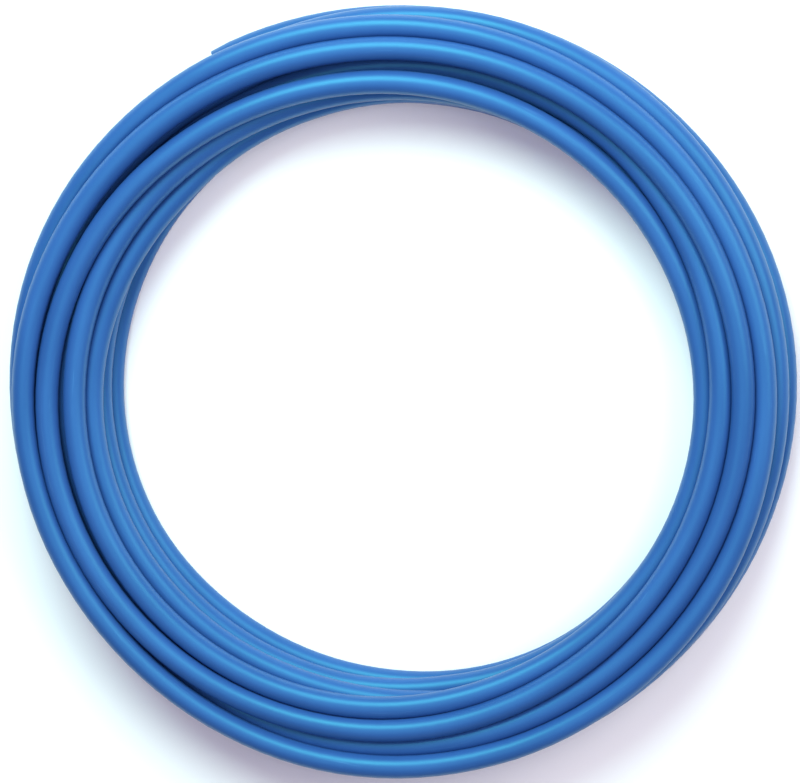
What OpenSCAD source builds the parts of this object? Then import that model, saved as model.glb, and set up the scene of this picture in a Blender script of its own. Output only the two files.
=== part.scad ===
// A coil of plastic water pipe: one length of pipe, wound in nested rows and lying flat.
// Millimetres. +Z is the coil's axis, the origin is on it at the floor, and the pipe is
// wound anticlockwise from its inner end, low in the bore, to its outer end on the rim.

/* [Pipe] */
// Outside diameter of the pipe
pipe_od = 22.225; // [12:0.005:32]
// Wall thickness of the pipe
pipe_wall = 2.47; // [1.5:0.01:3.5]

/* [Coil] */
// Clear diameter through the middle of the coil
bore_d = 552; // [440:2:800]
// Turns side by side in a row; the top row has one fewer
turns_across = 4; // [3:1:6]
// Distance between turns that rest on each other, in pipe diameters
turn_pitch = 1.008; // [1.005:0.001:1.03]
// How much further out than the bottom row the top row begins, in turns
top_start = 1.15; // [1:0.05:1.3]
// How far off centre the two upper rows lie, in pipe diameters
upper_shift = 0.4; // [0.1:0.05:0.42]
// Which way the upper rows lie off centre, anticlockwise from +X
upper_angle = 207; // [0:1:359]

/* [Pipe ends] */
// Depth to which each cut end has the pipe's true bore
end_bore_depth = 20; // [12:1:24]
// Angle over which a cut turn's place stays empty past its cut end
end_gap = 28; // [26:1:60]
// Where the inner end is cut, anticlockwise from +X
inner_end_angle = 129; // [0:1:359]
// Where the outer end is cut, anticlockwise from +X
outer_end_angle = 120; // [0:1:359]

/* [Hidden] */
$fn = 96;

pipe_r = pipe_od / 2;
pipe_bore_r = pipe_r - pipe_wall;
pitch = turn_pitch * pipe_od;
last_turn = turns_across - 1;
last_top_turn = last_turn - 1;

// How much further out than the bottom row each row begins, in turns, from the floor up
row_start = [0, 0.5, 0.5, top_start];

// Height of a row above the one below it, when it begins that much further out, in turns
function rise(start) = pitch * sqrt(1 - pow(start - round(start), 2));

// The third row crosses the second one, because it lies off centre, so it can't nest.
second_z = pipe_r + rise(row_start[1]);
third_z = second_z + pitch;
row_z = [pipe_r, second_z, third_z, third_z + rise(row_start[3] - row_start[2])];

// Taper where a cut turn slips in among its neighbours. It is rooted inside the turn.
tip_length = 1.4 * pipe_od;
tip_root = 0.1 * pipe_od;
tip_base_r = 0.96 * pipe_r;
tip_r = 0.4 * pipe_r;
// Angle by which the fill beside a cut turn stops short of the turn's own tips
fill_stop = 1;
// Depth to which the upper rows are rooted below the middle of the second row
upper_root = 0.1 * pipe_od;

function turn_r(row, turn) = bore_d / 2 + pipe_r + (row_start[row] + turn) * pitch;
function centre(row, turn) = [turn_r(row, turn), row_z[row]];

first_centre = centre(0, 0);
final_centre = centre(1, last_turn);

module turn_section(row, turn) {
    translate(centre(row, turn)) circle(r = pipe_r);
}

// Section of the two lower rows, without the two turns that are cut
module lower_section() {
    polygon([centre(0, 1), centre(0, last_turn), centre(1, last_turn - 1), centre(1, 0)]);
    for (turn = [1:last_turn]) turn_section(0, turn);
    for (turn = [0:last_turn - 1]) turn_section(1, turn);
}

// Section of the two upper rows, rooted in the second row
module upper_section() {
    root_z = row_z[1] - upper_root;
    polygon([
        [turn_r(2, 0), root_z], [turn_r(1, last_turn - 1), root_z], centre(2, last_turn),
        centre(3, last_top_turn), centre(3, 0), centre(2, 0)
    ]);
    for (turn = [0:last_turn]) turn_section(2, turn);
    for (turn = [0:last_top_turn]) turn_section(3, turn);
}

// Fill between the first turn and its neighbours
module first_turn_fill() {
    polygon([first_centre, centre(0, 1), centre(1, 1), centre(1, 0)]);
}

// Fill between the last turn and its neighbours, up into the third row
module final_turn_fill() {
    polygon([
        centre(0, last_turn), final_centre, [final_centre[0], row_z[2]],
        [turn_r(1, last_turn - 1), row_z[2]], centre(1, last_turn - 1)
    ]);
}

// Places a child that stands on +Z so that it runs along the turn: 1 is anticlockwise.
module along_turn(at, angle, direction) {
    rotate([0, 0, angle]) translate([at[0], 0, at[1]]) rotate([-90 * direction, 0, 0]) children();
}

// One cut turn: square at its cut end, tapered at its other tip. Its child is the section of
// its fill, which stops short of both.
module cut_turn(at, end_angle, direction) {
    sweep = 360 - end_gap;
    tip_angle = end_angle - direction * sweep;
    start_angle = min(end_angle, tip_angle);
    rotate_extrude(angle = sweep, start = start_angle) translate(at) circle(r = pipe_r);
    rotate_extrude(angle = sweep - 2 * fill_stop, start = start_angle + fill_stop) children();
    along_turn(at, tip_angle, -direction)
        translate([0, 0, -tip_root])
            cylinder(h = tip_root + tip_length, r1 = tip_base_r, r2 = tip_r);
}

// The hole in a cut end, run past its mouth
module end_bore(at, end_angle, direction) {
    along_turn(at, end_angle, direction)
        translate([0, 0, -end_bore_depth]) cylinder(h = end_bore_depth + 1, r = pipe_bore_r);
}

module coiled_pipe() {
    color([0.22, 0.44, 0.71])
        difference() {
            union() {
                rotate_extrude() lower_section();
                rotate([0, 0, upper_angle]) translate([upper_shift * pipe_od, 0, 0])
                    rotate_extrude() upper_section();
                cut_turn(first_centre, inner_end_angle, -1) first_turn_fill();
                cut_turn(final_centre, outer_end_angle, 1) final_turn_fill();
            }
            end_bore(first_centre, inner_end_angle, -1);
            end_bore(final_centre, outer_end_angle, 1);
        }
}

coiled_pipe();
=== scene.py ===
"""A coil of blue plastic water pipe: one length, wound in nested rows and lying flat.

The pipe is swept along its real winding. It starts low in the bore, climbs the bore wall,
crosses the top face, goes down to fill the middle, and climbs out again to the rim.
"""

import logging
import math
from dataclasses import dataclass
from enum import Enum
from typing import ClassVar, NamedTuple

import bmesh
import bpy
import numpy as np
from mathutils import Matrix, Vector


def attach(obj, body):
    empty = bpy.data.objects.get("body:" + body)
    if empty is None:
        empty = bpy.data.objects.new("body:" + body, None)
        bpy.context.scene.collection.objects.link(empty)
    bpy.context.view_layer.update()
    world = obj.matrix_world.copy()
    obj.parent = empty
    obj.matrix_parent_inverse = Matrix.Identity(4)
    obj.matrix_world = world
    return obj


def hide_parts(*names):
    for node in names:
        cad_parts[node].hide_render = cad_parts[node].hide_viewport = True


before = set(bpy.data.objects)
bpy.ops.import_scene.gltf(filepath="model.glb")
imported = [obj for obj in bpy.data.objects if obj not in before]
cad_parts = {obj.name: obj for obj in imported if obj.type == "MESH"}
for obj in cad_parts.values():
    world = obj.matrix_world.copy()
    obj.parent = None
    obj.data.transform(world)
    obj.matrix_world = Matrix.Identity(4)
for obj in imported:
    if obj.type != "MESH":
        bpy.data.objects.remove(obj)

LOG = logging.getLogger("pipe_coil")

Colour = tuple[float, float, float]
Rim = list[bmesh.types.BMEdge]


class Hold(Enum):
    """How firmly a knot keeps the pipe in place while the turns settle."""

    CUT_END = 1.0
    SHOWING = 0.25
    STEERED = 0.06
    BURIED = 0.01


class Knot(NamedTuple):
    """A place on the winding, with its radius and height in pipe diameters."""

    turns: float
    radius: float
    height: float
    hold: Hold


def turn(number: int, hold: Hold, *places: tuple[float, float, float]) -> tuple[Knot, ...]:
    """Lists knots along one turn.

    Args:
        number: Which turn it is. Turn 0 begins the top face.
        hold: How firmly these knots hold.
        places: Degrees anticlockwise from +X, then radius and height in pipe diameters.

    Returns:
        The knots, in the order given.
    """
    return tuple(Knot(number + angle / 360, radius, height, hold) for angle, radius, height in places)


@dataclass(frozen=True)
class PipeStock:
    """The pipe before it is wound, in metres."""

    outside: float = 0.022225
    wall: float = 0.00247
    edge_break: float = 0.0003
    sides: int = 24

    @property
    def bore(self) -> float:
        """Inside diameter."""
        return self.outside - 2 * self.wall


@dataclass(frozen=True)
class Winding:
    """The route of the pipe, settled so that no two turns share a place.

    Knots give where the turns lie. The turns are then smoothed as a stiff pipe would be,
    and pushed apart wherever two centres are closer than one diameter.
    """

    stock: PipeStock
    start: float
    end: float
    knots: tuple[Knot, ...]
    per_turn: int = 120
    rounds: int = 420
    lowest: float = 0.5
    highest: float = 3.7
    least_radius: float = 12.9
    most_radius: float = 17.15
    bend: float = 0.25
    bend_passes: int = 10
    grip: tuple[float, float] = (1.0, 0.2)
    end_ease: float = 0.09
    pushes: int = 3
    push_share: float = 0.7
    cut_end_firmness: float = 1e4
    showing_firmness: float = 3.0
    least_distance: float = 1e-9
    slack: float = 1e-6

    def _turns(self) -> np.ndarray:
        """Counts turns at every sample.

        Returns:
            The turn count along every whole turn that the pipe lies in.
        """
        first, last = math.floor(self.start), math.ceil(self.end)
        return first + np.arange((last - first) * self.per_turn) / self.per_turn

    def _wanted(self, turns: np.ndarray) -> tuple[np.ndarray, np.ndarray]:
        """Reads the knots at each sample.

        Args:
            turns: Turn count at every sample.

        Returns:
            The wanted radius and height, and how firmly each sample is held.
        """
        at = np.array([knot.turns for knot in self.knots])
        wanted = np.stack(
            [
                np.interp(turns, at, [knot.radius for knot in self.knots]),
                np.interp(turns, at, [knot.height for knot in self.knots]),
            ],
            axis=-1,
        )
        after = np.clip(np.searchsorted(at, turns), 1, len(at) - 1)
        hold = np.array([knot.hold.value for knot in self.knots])
        return wanted, np.minimum(hold[after - 1], hold[after])

    def _smooth(self, places: np.ndarray, first: int, last: int) -> None:
        """Eases the bends of the pipe, in place.

        Args:
            places: Radius and height of every sample.
            first: The pipe's first sample.
            last: The pipe's last sample.
        """
        for _ in range(self.bend_passes):
            inner = places[first : last + 1]
            curve = inner[:-2] + inner[2:] - 2 * inner[1:-1]
            inner[1:-1] += self.bend * curve

    def _settled(self, turns: np.ndarray) -> np.ndarray:
        """Moves the turns until they lie beside each other.

        Args:
            turns: Turn count at every sample.

        Returns:
            Radius and height of every sample, in pipe diameters.
        """
        wanted, hold = self._wanted(turns)
        past_end = np.maximum(self.start - turns, turns - self.end)
        first, last = np.flatnonzero(past_end < self.slack)[[0, -1]]
        rows = len(turns) // self.per_turn
        lower, upper = np.triu_indices(rows, 1)
        width = np.clip(1.0 - past_end / self.end_ease, 0.0, 1.0).reshape(rows, -1)
        reach = np.minimum(width[lower], width[upper])
        firm = np.select(
            [hold >= Hold.CUT_END.value, hold >= Hold.SHOWING.value],
            [self.cut_end_firmness, self.showing_firmness],
            1.0,
        ).reshape(rows, -1)
        share = firm[upper] / (firm[lower] + firm[upper])
        back, forth = np.zeros((2, rows, len(lower)))
        back[lower, np.arange(len(lower))] = 1.0
        forth[upper, np.arange(len(upper))] = 1.0
        places = wanted.copy()
        for _ in range(self.rounds):
            places += hold[:, None] * self.grip * (wanted - places)
            self._smooth(places, first, last)
            grid = places.reshape(rows, self.per_turn, 2)
            for _ in range(self.pushes):
                apart = grid[upper] - grid[lower]
                distance = np.sqrt((apart**2).sum(-1)) + self.least_distance
                overlap = np.maximum(reach - distance, 0.0)
                push = apart * (self.push_share * overlap / distance)[..., None]
                grid -= np.einsum("rp,pac->rac", back, push * share[..., None])
                grid += np.einsum("rp,pac->rac", forth, push * (1 - share)[..., None])
                np.clip(grid[..., 0], self.least_radius, self.most_radius, out=grid[..., 0])
                np.clip(grid[..., 1], self.lowest, self.highest, out=grid[..., 1])
        return places

    def route(self) -> np.ndarray:
        """Settles the winding.

        Returns:
            Points along the middle of the pipe, in metres.
        """
        turns = self._turns()
        places = self._settled(turns)
        live = (turns > self.start - self.slack) & (turns < self.end + self.slack)
        angle = 2 * math.pi * turns[live]
        radius, height = places[live].T * self.stock.outside
        return np.stack([radius * np.cos(angle), radius * np.sin(angle), height], axis=-1)


CUT_END, SHOW, STEER, BURY = Hold

# From the inner end, low in the bore, up the bore wall
BORE_WALL = (
    *turn(-4, CUT_END, (129, 13.04, 0.5), (132, 13.04, 0.5)),
    *turn(-4, SHOW, (150, 13.05, 0.5), (180, 13.21, 0.5), (200, 13.35, 0.5), (215, 13.29, 0.5)),
    *turn(-4, SHOW, (232, 13.07, 0.5), (255, 13.11, 0.5), (270, 13.16, 0.5), (285, 13.35, 0.5)),
    *turn(-4, SHOW, (300, 13.47, 0.5), (315, 13.45, 0.5), (330, 13.31, 0.5), (345, 13.17, 0.5)),
    *turn(-3, SHOW, (0, 13.07, 0.5), (30, 12.97, 0.5), (60, 13.02, 0.5), (75, 13.1, 0.5)),
    *turn(-3, STEER, (90, 13.05, 0.7), (110, 13.15, 1.1), (125, 13.3, 1.35)),
    *turn(-3, SHOW, (150, 13.3, 1.37), (180, 13.55, 1.37), (210, 13.6, 1.37), (240, 13.55, 1.37)),
    *turn(-3, SHOW, (255, 13.48, 1.4), (270, 13.38, 1.46)),
    *turn(-3, STEER, (285, 13.36, 1.55), (300, 13.38, 1.7), (315, 13.3, 1.6), (330, 13.28, 1.5)),
    *turn(-2, SHOW, (0, 13.12, 1.5), (30, 13.08, 1.5), (75, 13.15, 1.48)),
    *turn(-2, STEER, (100, 13, 1.75)),
    *turn(-2, STEER, (130, 12.97, 2.1)),
    *turn(-2, SHOW, (172, 13.68, 2.35), (195, 13.85, 2.38), (210, 13.87, 2.38), (240, 13.73, 2.38)),
    *turn(-2, SHOW, (255, 13.65, 2.38), (270, 13.5, 2.43), (280, 13.5, 2.35)),
    *turn(-2, STEER, (293, 14, 2.3)),
    *turn(-2, BURY, (305, 14.25, 2.4), (320, 14.15, 2.4)),
    *turn(-1, BURY, (0, 14.1, 2.35), (25, 13.9, 2.2)),
    *turn(-1, SHOW, (45, 13.4, 2.15), (60, 13.2, 2.38), (75, 13.15, 2.43)),
    *turn(-1, STEER, (90, 13.12, 2.45)),
    *turn(-1, STEER, (105, 13.2, 2.6), (120, 13.4, 2.65)),
)
# Across the top face, out to its middle and back to the bore
TOP_FACE = (
    *turn(-1, SHOW, (135, 13.74, 2.54), (150, 14, 2.78), (165, 14.17, 3.1), (180, 14.31, 3.28)),
    *turn(-1, SHOW, (195, 14.43, 3.33), (210, 14.49, 3.33), (225, 14.4, 3.33), (240, 14.23, 3.33)),
    *turn(-1, SHOW, (255, 13.98, 3.33), (270, 13.77, 3.33), (285, 13.54, 2.95), (300, 13.43, 2.65)),
    *turn(-1, SHOW, (315, 13.27, 2.52), (345, 13.16, 2.45)),
    *turn(0, SHOW, (0, 13.13, 2.45), (30, 13.11, 2.7), (45, 13.09, 3.05), (60, 13.19, 3.37)),
    *turn(0, SHOW, (75, 13.26, 3.44), (90, 13.41, 3.45), (105, 13.55, 3.45), (120, 13.82, 3.41)),
    *turn(0, SHOW, (135, 14.23, 3.36), (150, 14.71, 3.33), (165, 15.22, 3.33), (180, 15.54, 3.33)),
    *turn(0, SHOW, (195, 15.68, 3.33), (210, 15.66, 3.33), (240, 15.27, 3.33), (270, 14.63, 3.33)),
    *turn(0, SHOW, (285, 14.26, 3.33), (300, 13.97, 3.33), (315, 13.81, 3.33), (345, 13.73, 3.33)),
    *turn(1, SHOW, (0, 13.81, 3.33), (15, 13.85, 3.28)),
)
# Down into the coil, in along the floor and out again, each turn beside the last
MIDDLE = (
    *turn(1, SHOW, (40, 14.1, 2.75), (60, 14.17, 2.43), (75, 14.17, 2.4)),
    *turn(1, STEER, (120, 14.25, 2.38)),
    *turn(1, BURY, (150, 14.8, 2.38), (160, 14.83, 2.38), (240, 14.43, 1.45)),
    *turn(1, BURY, (300, 14.42, 1.5), (330, 14.35, 1.5)),
    *turn(2, BURY, (0, 14.43, 1.37), (170, 14.43, 1.37), (250, 14.2, 0.5), (300, 14.46, 0.5)),
    *turn(2, BURY, (330, 14.25, 0.5)),
    *turn(3, BURY, (0, 14, 0.5), (180, 13.93, 0.5), (260, 15.2, 0.5), (300, 15.45, 0.5)),
    *turn(3, BURY, (330, 15.25, 0.5)),
    *turn(4, BURY, (0, 15, 0.5), (190, 14.93, 0.5), (270, 16.2, 0.5), (300, 16.4, 0.5)),
    *turn(4, BURY, (330, 16.25, 0.5)),
    *turn(5, BURY, (0, 15.97, 0.5), (200, 15.94, 0.5), (280, 15.42, 1.4), (300, 15.35, 1.5)),
    *turn(5, BURY, (330, 15.35, 1.45)),
    *turn(6, BURY, (0, 15.44, 1.37), (180, 15.44, 1.37), (275, 15.2, 2.3), (300, 15.25, 2.4)),
    *turn(6, BURY, (330, 15.15, 2.4)),
    *turn(7, BURY, (0, 15.15, 2.38), (120, 15.25, 2.38), (165, 15.7, 2.38), (225, 15.84, 2.38)),
    *turn(7, BURY, (255, 15.65, 2.6)),
)
# Out of the middle, round the top face and down the rim to the outer end
RIM = (
    *turn(7, SHOW, (285, 15.33, 2.85), (300, 15.04, 3.05), (315, 14.9, 3.2), (330, 14.82, 3.35)),
    *turn(8, SHOW, (0, 14.77, 3.5), (45, 14.73, 3.57), (75, 14.81, 3.6), (90, 14.87, 3.6)),
    *turn(8, SHOW, (105, 15.03, 3.6), (120, 15.29, 3.55), (135, 15.58, 3.4), (150, 15.94, 3.33)),
    *turn(8, SHOW, (165, 16.32, 3.33), (180, 16.65, 3.33), (195, 16.62, 3.33), (240, 16.51, 3.33)),
    *turn(8, SHOW, (255, 16.44, 3.33), (270, 16.22, 3.33), (300, 15.86, 3.33), (345, 15.65, 3.27)),
    *turn(9, SHOW, (0, 15.61, 3.15), (45, 15.61, 3.1), (75, 15.67, 3.07), (90, 15.74, 3.07)),
    *turn(9, SHOW, (105, 15.83, 3.05), (120, 16.14, 2.95), (135, 16.39, 2.75), (150, 16.67, 2.56)),
    *turn(9, SHOW, (165, 16.88, 2.42), (180, 16.88, 2.4), (210, 16.84, 2.38), (240, 16.78, 2.38)),
    *turn(9, SHOW, (255, 16.66, 2.38), (270, 16.42, 2.4), (285, 16.2, 2.42), (300, 16.08, 2.42)),
    *turn(9, SHOW, (315, 16.04, 2.4), (345, 16.14, 2.36)),
    *turn(10, SHOW, (0, 16.17, 2.35), (30, 16.19, 2.33), (45, 16.26, 2.33), (60, 16.3, 2.33)),
    *turn(10, SHOW, (75, 16.22, 2.33), (90, 16.13, 2.33), (105, 16, 2.25), (125, 15.95, 2.1)),
    *turn(10, STEER, (150, 16.25, 1.6), (180, 16.45, 1.37), (225, 16.45, 1.37)),
    *turn(10, SHOW, (255, 16.5, 1.4), (270, 16.45, 1.45), (285, 16.38, 1.45), (300, 16.25, 1.45)),
    *turn(10, SHOW, (315, 16.16, 1.45), (330, 16.22, 1.4), (345, 16.36, 1.37)),
    *turn(11, SHOW, (0, 16.54, 1.37), (15, 16.58, 1.37), (30, 16.47, 1.37), (45, 16.3, 1.37)),
    *turn(11, SHOW, (60, 16.2, 1.37), (75, 16.14, 1.37), (90, 16.04, 1.37), (105, 16.1, 1.37)),
    *turn(11, CUT_END, (117.5, 16.43, 1.373), (120, 16.446, 1.373)),
)


def arithmetic(
    tree: bpy.types.NodeTree, operation: str, *values: float | bpy.types.NodeSocket
) -> bpy.types.NodeSocket:
    """Adds a math node.

    Args:
        tree: Tree that the node goes in.
        operation: Name of the sum that the node does.
        values: Number or socket for each of its inputs, in order.

    Returns:
        The socket of the result.
    """
    node = tree.nodes.new("ShaderNodeMath")
    node.operation = operation
    for socket, value in zip(node.inputs, values):
        if isinstance(value, bpy.types.NodeSocket):
            tree.links.new(value, socket)
        else:
            socket.default_value = value
    return node.outputs["Value"]


@dataclass(frozen=True)
class SweepTree:
    """Geometry nodes that sweep a hollow pipe along a curve."""

    name: str = "sweep_pipe"

    def build(self, material: bpy.types.Material) -> bpy.types.NodeTree:
        """Builds the tree.

        Args:
            material: Finish that the tree gives the pipe.

        Returns:
            A tree with inputs for the outside diameter, the bore and the sides.
        """
        tree = bpy.data.node_groups.new(self.name, "GeometryNodeTree")
        face = tree.interface
        face.new_socket("Route", in_out="INPUT", socket_type="NodeSocketGeometry")
        face.new_socket("Outside Diameter", in_out="INPUT", socket_type="NodeSocketFloat")
        face.new_socket("Bore Diameter", in_out="INPUT", socket_type="NodeSocketFloat")
        face.new_socket("Sides", in_out="INPUT", socket_type="NodeSocketInt")
        face.new_socket("Pipe", in_out="OUTPUT", socket_type="NodeSocketGeometry")
        add, link = tree.nodes.new, tree.links.new
        given = add("NodeGroupInput")
        route = self._marked_route(tree, given.outputs["Route"])
        outer = self._wall(tree, route, given, "Outside Diameter")
        inner = self._wall(tree, route, given, "Bore Diameter")
        flip = add("GeometryNodeFlipFaces")
        link(inner, flip.inputs["Mesh"])
        join = add("GeometryNodeJoinGeometry")
        link(outer, join.inputs["Geometry"])
        link(flip.outputs["Mesh"], join.inputs["Geometry"])
        smooth = add("GeometryNodeSetShadeSmooth")
        link(join.outputs["Geometry"], smooth.inputs["Geometry"])
        real = add("GeometryNodeRealizeInstances")
        link(smooth.outputs["Geometry"], real.inputs["Geometry"])
        finish = add("GeometryNodeSetMaterial")
        finish.inputs["Material"].default_value = material
        link(real.outputs["Geometry"], finish.inputs["Geometry"])
        link(finish.outputs["Geometry"], add("NodeGroupOutput").inputs["Pipe"])
        return tree

    def _marked_route(
        self, tree: bpy.types.NodeTree, route: bpy.types.NodeSocket
    ) -> bpy.types.NodeSocket:
        """Stores the length along the pipe on the route, and keeps its sections upright.

        Args:
            tree: Tree that the nodes go in.
            route: Curve along the middle of the pipe.

        Returns:
            The marked curve.
        """
        upright = tree.nodes.new("GeometryNodeSetCurveNormal")
        upright.mode = "Z_UP"
        tree.links.new(route, upright.inputs["Curve"])
        length = tree.nodes.new("GeometryNodeSplineParameter")
        mark = tree.nodes.new("GeometryNodeStoreNamedAttribute")
        mark.data_type, mark.domain = "FLOAT", "POINT"
        mark.inputs["Name"].default_value = PipeFinish.ALONG
        tree.links.new(upright.outputs["Curve"], mark.inputs["Geometry"])
        tree.links.new(length.outputs["Length"], mark.inputs["Value"])
        return mark.outputs["Geometry"]

    def _wall(
        self,
        tree: bpy.types.NodeTree,
        route: bpy.types.NodeSocket,
        given: bpy.types.Node,
        diameter: str,
    ) -> bpy.types.NodeSocket:
        """Sweeps one wall of the pipe.

        Args:
            tree: Tree that the nodes go in.
            route: Marked curve along the middle of the pipe.
            given: Group input node.
            diameter: Name of the input that gives this wall's diameter.

        Returns:
            The swept mesh, which remembers where on the section each point is.
        """
        add, link = tree.nodes.new, tree.links.new
        ring = add("GeometryNodeCurvePrimitiveCircle")
        link(given.outputs["Sides"], ring.inputs["Resolution"])
        link(arithmetic(tree, "DIVIDE", given.outputs[diameter], 2.0), ring.inputs["Radius"])
        mark = add("GeometryNodeStoreNamedAttribute")
        mark.data_type, mark.domain = "FLOAT_VECTOR", "POINT"
        mark.inputs["Name"].default_value = PipeFinish.SECTION
        link(ring.outputs["Curve"], mark.inputs["Geometry"])
        link(add("GeometryNodeInputPosition").outputs["Position"], mark.inputs["Value"])
        sweep = add("GeometryNodeCurveToMesh")
        link(route, sweep.inputs["Curve"])
        link(mark.outputs["Geometry"], sweep.inputs["Profile Curve"])
        return sweep.outputs["Mesh"]


def shader_group(
    name: str, inputs: dict[str, tuple[str, object]], outputs: dict[str, str]
) -> bpy.types.NodeTree:
    """Makes an empty shader node group.

    Args:
        name: Name of the group.
        inputs: Socket type and starting value of each input.
        outputs: Socket type of each output.

    Returns:
        The group, with its input and output nodes in place.
    """
    group = bpy.data.node_groups.new(name, "ShaderNodeTree")
    for label, (kind, value) in inputs.items():
        socket = group.interface.new_socket(label, in_out="INPUT", socket_type=kind)
        socket.default_value = value
    for label, kind in outputs.items():
        group.interface.new_socket(label, in_out="OUTPUT", socket_type=kind)
    group.nodes.new("NodeGroupInput")
    group.nodes.new("NodeGroupOutput")
    return group


FLOAT = "NodeSocketFloat"


@dataclass(frozen=True)
class PipeFinish:
    """Satin blue plastic with the faint lines of its die and the marks of handling."""

    ALONG: ClassVar[str] = "along_pipe"
    SECTION: ClassVar[str] = "pipe_section"

    name: str = "satin_blue_pex"
    deep: Colour = (0.022, 0.075, 0.265)
    pale: Colour = (0.027, 0.087, 0.3)
    rubbed: Colour = (0.07, 0.2, 0.46)
    sheen: Colour = (0.18, 0.92, 1.0)
    roughness: float = 0.37
    roughness_change: float = 0.06
    specular: float = 0.65
    rub_amount: float = 0.35
    line_height: float = 0.35
    bump_strength: float = 0.12
    bump_distance: float = 0.0006

    def _place(self, group: bpy.types.NodeTree, around: float, along: float) -> bpy.types.NodeSocket:
        """Texture place on the pipe's own surface, without a seam.

        Args:
            group: Group that the nodes go in.
            around: Pattern repeats for each metre across the section.
            along: Pattern repeats for each metre along the pipe.

        Returns:
            A vector socket.
        """
        add, link = group.nodes.new, group.links.new
        section, length = add("ShaderNodeAttribute"), add("ShaderNodeAttribute")
        section.attribute_name, length.attribute_name = self.SECTION, self.ALONG
        wide = add("ShaderNodeVectorMath")
        wide.operation = "SCALE"
        wide.inputs["Scale"].default_value = around
        link(section.outputs["Vector"], wide.inputs[0])
        split = add("ShaderNodeSeparateXYZ")
        link(wide.outputs["Vector"], split.inputs["Vector"])
        joined = add("ShaderNodeCombineXYZ")
        link(split.outputs["X"], joined.inputs["X"])
        link(split.outputs["Y"], joined.inputs["Y"])
        link(arithmetic(group, "MULTIPLY", length.outputs["Fac"], along), joined.inputs["Z"])
        return joined.outputs["Vector"]

    def _noise(
        self, group: bpy.types.NodeTree, around: float, along: float, detail: float
    ) -> bpy.types.NodeSocket:
        """Lays noise on the pipe's surface.

        Args:
            group: Group that the nodes go in.
            around: Pattern repeats for each metre across the section.
            along: Pattern repeats for each metre along the pipe.
            detail: How many finer layers it has.

        Returns:
            A socket from 0 to 1.
        """
        noise = group.nodes.new("ShaderNodeTexNoise")
        noise.inputs["Scale"].default_value = 1.0
        noise.inputs["Detail"].default_value = detail
        group.links.new(self._place(group, around, along), noise.inputs["Vector"])
        return noise.outputs["Fac"]

    @staticmethod
    def _ramp(
        group: bpy.types.NodeTree, value: bpy.types.NodeSocket, low: float, high: float
    ) -> bpy.types.NodeSocket:
        """Stretches part of a pattern's range to run from 0 to 1.

        Args:
            group: Group that the node goes in.
            value: Socket of the pattern.
            low: Value that becomes 0.
            high: Value that becomes 1.

        Returns:
            The socket of the result.
        """
        ramp = group.nodes.new("ShaderNodeMapRange")
        ramp.inputs["From Min"].default_value = low
        ramp.inputs["From Max"].default_value = high
        group.links.new(value, ramp.inputs["Value"])
        return ramp.outputs["Result"]

    def die_lines(self) -> bpy.types.NodeTree:
        """Fine lines drawn along the pipe as it left the die.

        Returns:
            A group that puts out a height and a shade.
        """
        group = shader_group("die_lines", {}, {"Height": FLOAT, "Shade": FLOAT})
        out = group.nodes["Group Output"]
        lines = self._noise(group, around=900.0, along=2.5, detail=3.0)
        swell = self._noise(group, around=60.0, along=9.0, detail=1.0)
        height = arithmetic(group, "MULTIPLY_ADD", lines, self.line_height, swell)
        group.links.new(height, out.inputs["Height"])
        group.links.new(self._ramp(group, swell, low=0.3, high=0.7), out.inputs["Shade"])
        return group

    def handling(self) -> bpy.types.NodeTree:
        """Sparse pale rubs where turns have slid on each other.

        Returns:
            A group with an amount, which puts out a mask.
        """
        group = shader_group("handling_rubs", {"Amount": (FLOAT, 1.0)}, {"Mask": FLOAT})
        given, out = group.nodes["Group Input"], group.nodes["Group Output"]
        streaks = self._noise(group, around=520.0, along=22.0, detail=2.0)
        patches = self._noise(group, around=70.0, along=5.0, detail=2.0)
        both = arithmetic(
            group,
            "MULTIPLY",
            self._ramp(group, streaks, low=0.62, high=0.72),
            self._ramp(group, patches, low=0.55, high=0.7),
        )
        mask = arithmetic(group, "MULTIPLY", both, given.outputs["Amount"])
        group.links.new(mask, out.inputs["Mask"])
        return group

    def material(self) -> bpy.types.Material:
        """Builds the material.

        Returns:
            Satin blue plastic for the pipe, inside and out.
        """
        made = bpy.data.materials.new(self.name)
        made.use_nodes = True
        tree = made.node_tree
        add, link = tree.nodes.new, tree.links.new
        shader = tree.nodes["Principled BSDF"]
        shader.inputs["Specular IOR Level"].default_value = self.specular
        shader.inputs["Specular Tint"].default_value = (*self.sheen, 1)
        lines, rubs = add("ShaderNodeGroup"), add("ShaderNodeGroup")
        lines.node_tree, rubs.node_tree = self.die_lines(), self.handling()
        rubs.inputs["Amount"].default_value = self.rub_amount
        body = self._mix(tree, lines.outputs["Shade"], self.deep, self.pale)
        worn = self._mix(tree, rubs.outputs["Mask"], body, self.rubbed)
        link(worn, shader.inputs["Base Color"])
        shade = lines.outputs["Shade"]
        rough = arithmetic(tree, "MULTIPLY_ADD", shade, self.roughness_change, self.roughness)
        link(rough, shader.inputs["Roughness"])
        bump = add("ShaderNodeBump")
        bump.inputs["Strength"].default_value = self.bump_strength
        bump.inputs["Distance"].default_value = self.bump_distance
        link(lines.outputs["Height"], bump.inputs["Height"])
        link(bump.outputs["Normal"], shader.inputs["Normal"])
        return made

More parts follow.
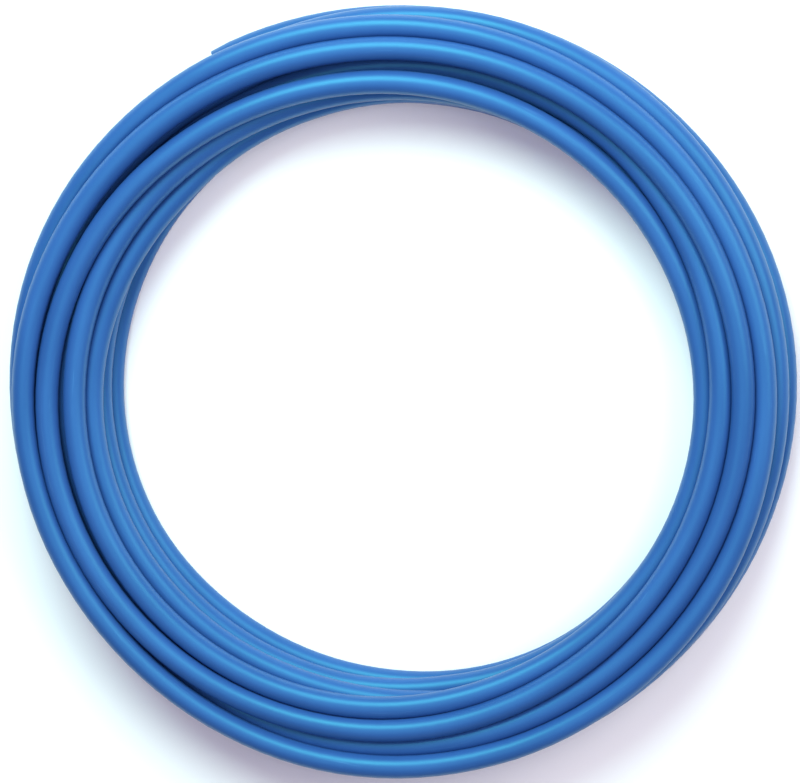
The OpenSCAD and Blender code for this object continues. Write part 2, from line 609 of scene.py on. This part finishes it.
    @staticmethod
    def _mix(
        tree: bpy.types.NodeTree,
        factor: bpy.types.NodeSocket,
        low: Colour | bpy.types.NodeSocket,
        high: Colour,
    ) -> bpy.types.NodeSocket:
        """Mixes two colours.

        Args:
            tree: Tree that the node goes in.
            factor: Socket that gives how much of the high colour shows.
            low: Colour at a factor of 0, or the socket it comes from.
            high: Colour at a factor of 1.

        Returns:
            The socket of the mixed colour.
        """
        mix = tree.nodes.new("ShaderNodeMix")
        mix.data_type = "RGBA"
        sockets = {socket.identifier: socket for socket in mix.inputs}
        tree.links.new(factor, sockets["Factor_Float"])
        sockets["B_Color"].default_value = (*high, 1)
        if isinstance(low, bpy.types.NodeSocket):
            tree.links.new(low, sockets["A_Color"])
        else:
            sockets["A_Color"].default_value = (*low, 1)
        return next(socket for socket in mix.outputs if socket.identifier == "Result_Color")


@dataclass(frozen=True)
class PipeCoil:
    """The one piece of the coil: the wound pipe, with its wall at both cut ends."""

    stock: PipeStock
    winding: Winding
    finish: PipeFinish
    name: str = "wound_pipe"

    def _curve(self) -> bpy.types.Object:
        """Puts the settled route into a curve.

        Returns:
            The curve's object.
        """
        points = self.winding.route()
        curve = bpy.data.curves.new(f"{self.name}_route", "CURVE")
        curve.dimensions = "3D"
        spline = curve.splines.new("POLY")
        spline.points.add(len(points) - 1)
        spline.points.foreach_set("co", np.c_[points, np.ones(len(points))].ravel())
        length = np.linalg.norm(np.diff(points, axis=0), axis=1).sum()
        LOG.info("%s: %.2f m of pipe on %d points", self.name, length, len(points))
        shown = bpy.data.objects.new(f"{self.name}_route", curve)
        bpy.context.scene.collection.objects.link(shown)
        return shown

    def _sweep(self, material: bpy.types.Material) -> bpy.types.Mesh:
        """Sweeps the pipe along its route.

        Args:
            material: Finish of the pipe.

        Returns:
            Both walls of the pipe, open at their ends.
        """
        route = self._curve()
        modifier = route.modifiers.new("sweep", "NODES")
        modifier.node_group = SweepTree().build(material)
        sizes = {
            "Outside Diameter": self.stock.outside,
            "Bore Diameter": self.stock.bore,
            "Sides": self.stock.sides,
        }
        for item in modifier.node_group.interface.items_tree:
            if item.name in sizes:
                modifier[item.identifier] = sizes[item.name]
        graph = bpy.context.evaluated_depsgraph_get()
        mesh = bpy.data.meshes.new_from_object(route.evaluated_get(graph), depsgraph=graph)
        bpy.data.objects.remove(route)
        return mesh

    @staticmethod
    def _split_by_radius(rims: Rim) -> tuple[Rim, Rim]:
        """Tells the rims of the inner end from those of the outer end.

        Args:
            rims: The open edges of both walls.

        Returns:
            The edges at the inner end, then those at the outer end.
        """
        radii = [edge.verts[0].co.xy.length for edge in rims]
        halfway = (min(radii) + max(radii)) / 2
        inner = [edge for edge, radius in zip(rims, radii) if radius < halfway]
        outer = [edge for edge, radius in zip(rims, radii) if radius >= halfway]
        return inner, outer

    def _close_ends(self, mesh: bpy.types.Mesh) -> None:
        """Joins the walls at both cut ends and breaks the sharp edges there.

        Args:
            mesh: The swept walls, changed in place.
        """
        made = bmesh.new()
        made.from_mesh(mesh)
        rims = [edge for edge in made.edges if edge.is_boundary]
        for rim in self._split_by_radius(rims):
            for face in bmesh.ops.bridge_loops(made, edges=rim)["faces"]:
                face.smooth = False
        bmesh.ops.bevel(
            made,
            geom=rims,
            offset=self.stock.edge_break,
            segments=2,
            affect="EDGES",
            profile=0.5,
        )
        bmesh.ops.recalc_face_normals(made, faces=made.faces)
        made.to_mesh(mesh)
        made.free()

    def build(self) -> bpy.types.Object:
        """Makes the wound pipe and puts it in place of the plain solid.

        Returns:
            The pipe's object, riding on the coil's body.
        """
        material = self.finish.material()
        mesh = self._sweep(material)
        self._close_ends(mesh)
        # The curve brings an empty material slot, which the faces at the cut ends would take
        mesh.materials.clear()
        mesh.materials.append(material)
        mesh.name = self.name
        pipe = bpy.data.objects.new(self.name, mesh)
        bpy.context.scene.collection.objects.link(pipe)
        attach(pipe, "root")
        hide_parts("coiled_pipe")
        LOG.info("%s: %d faces", self.name, len(mesh.polygons))
        return pipe


class Lamp(NamedTuple):
    """A soft lamp aimed at the coil, placed by direction and distance."""

    name: str
    azimuth: float
    elevation: float
    distance: float
    width: float
    watts: float
    colour: Colour


@dataclass(frozen=True)
class Studio:
    """Plain pale floor, soft light and the camera above the coil."""

    middle: tuple[float, float, float] = (0.0, 0.0, 0.0739)
    lamps: tuple[Lamp, ...] = (
        Lamp(
            "key", azimuth=102, elevation=46, distance=2.6,
            width=1.8, watts=98, colour=(0.68, 1.0, 0.9),
        ),
        Lamp(
            "side", azimuth=25, elevation=44, distance=2.6,
            width=2.0, watts=42, colour=(1.0, 0.98, 0.92),
        ),
        Lamp(
            "overhead", azimuth=200, elevation=84, distance=3.0,
            width=2.6, watts=18, colour=(0.96, 0.93, 1.0),
        ),
    )
    floor_size: float = 12.0
    floor_colour: Colour = (0.93, 0.92, 0.93)
    floor_roughness: float = 0.9
    sky: Colour = (0.82, 0.76, 1.0)
    sky_strength: float = 0.42
    lean: float = 10.5
    lean_azimuth: float = 45.0
    camera_distance: float = 2.923
    lens: float = 137.6
    sensor_width: float = 36.0
    shift: tuple[float, float] = (0.0019, 0.0056)

    @staticmethod
    def _toward(azimuth: float, elevation: float) -> Vector:
        """Finds a direction.

        Args:
            azimuth: Degrees anticlockwise from +X.
            elevation: Degrees above the floor.

        Returns:
            A unit vector.
        """
        turn_angle, rise = math.radians(azimuth), math.radians(elevation)
        flat = math.cos(rise)
        return Vector((flat * math.cos(turn_angle), flat * math.sin(turn_angle), math.sin(rise)))

    def _floor(self) -> None:
        """Lays the floor, which isn't part of the object."""
        half = self.floor_size / 2
        mesh = bpy.data.meshes.new("floor")
        square = [(-half, -half, 0), (half, -half, 0), (half, half, 0), (-half, half, 0)]
        mesh.from_pydata(square, [], [(0, 1, 2, 3)])
        material = bpy.data.materials.new("pale_floor")
        material.use_nodes = True
        shader = material.node_tree.nodes["Principled BSDF"]
        shader.inputs["Base Color"].default_value = (*self.floor_colour, 1)
        shader.inputs["Roughness"].default_value = self.floor_roughness
        mesh.materials.append(material)
        floor = bpy.data.objects.new("floor", mesh)
        bpy.context.scene.collection.objects.link(floor)

    def _light(self) -> None:
        """Hangs the lamps and sets the sky."""
        for lamp in self.lamps:
            data = bpy.data.lights.new(lamp.name, "AREA")
            data.shape, data.size = "DISK", lamp.width
            data.energy, data.color = lamp.watts, lamp.colour
            shown = bpy.data.objects.new(lamp.name, data)
            toward = self._toward(lamp.azimuth, lamp.elevation)
            shown.location = Vector(self.middle) + toward * lamp.distance
            shown.rotation_euler = toward.to_track_quat("Z", "Y").to_euler()
            bpy.context.scene.collection.objects.link(shown)
        world = bpy.data.worlds.new("studio")
        world.use_nodes = True
        back = world.node_tree.nodes["Background"]
        back.inputs["Color"].default_value = (*self.sky, 1)
        back.inputs["Strength"].default_value = self.sky_strength
        bpy.context.scene.world = world

    def _camera(self) -> None:
        """Puts the camera nearly overhead, leaning toward the right and the back."""
        data = bpy.data.cameras.new("camera")
        data.sensor_width, data.lens = self.sensor_width, self.lens
        data.shift_x, data.shift_y = self.shift
        camera = bpy.data.objects.new("camera", data)
        back = self._toward(self.lean_azimuth, 90 - self.lean)
        right = Vector((0, 1, 0)).cross(back).normalized()
        up = back.cross(right)
        place = Matrix((right, up, back)).transposed().to_4x4()
        place.translation = Vector(self.middle) + back * self.camera_distance
        camera.matrix_world = place
        bpy.context.scene.collection.objects.link(camera)
        bpy.context.scene.camera = camera

    def build(self) -> None:
        """Sets up the floor, the light and the camera."""
        self._floor()
        self._light()
        self._camera()
        bpy.context.scene.view_settings.view_transform = "Standard"
        LOG.info("studio: %d lamps", len(self.lamps))


def main() -> None:
    """Builds the studio and the coil."""
    logging.basicConfig(level=logging.INFO, format="%(name)s %(message)s")
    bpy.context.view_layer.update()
    Studio().build()
    stock = PipeStock()
    knots = (*BORE_WALL, *TOP_FACE, *MIDDLE, *RIM)
    winding = Winding(stock, knots[0].turns, knots[-1].turns, knots)
    PipeCoil(stock, winding, PipeFinish()).build()


if __name__ == "__main__":
    main()
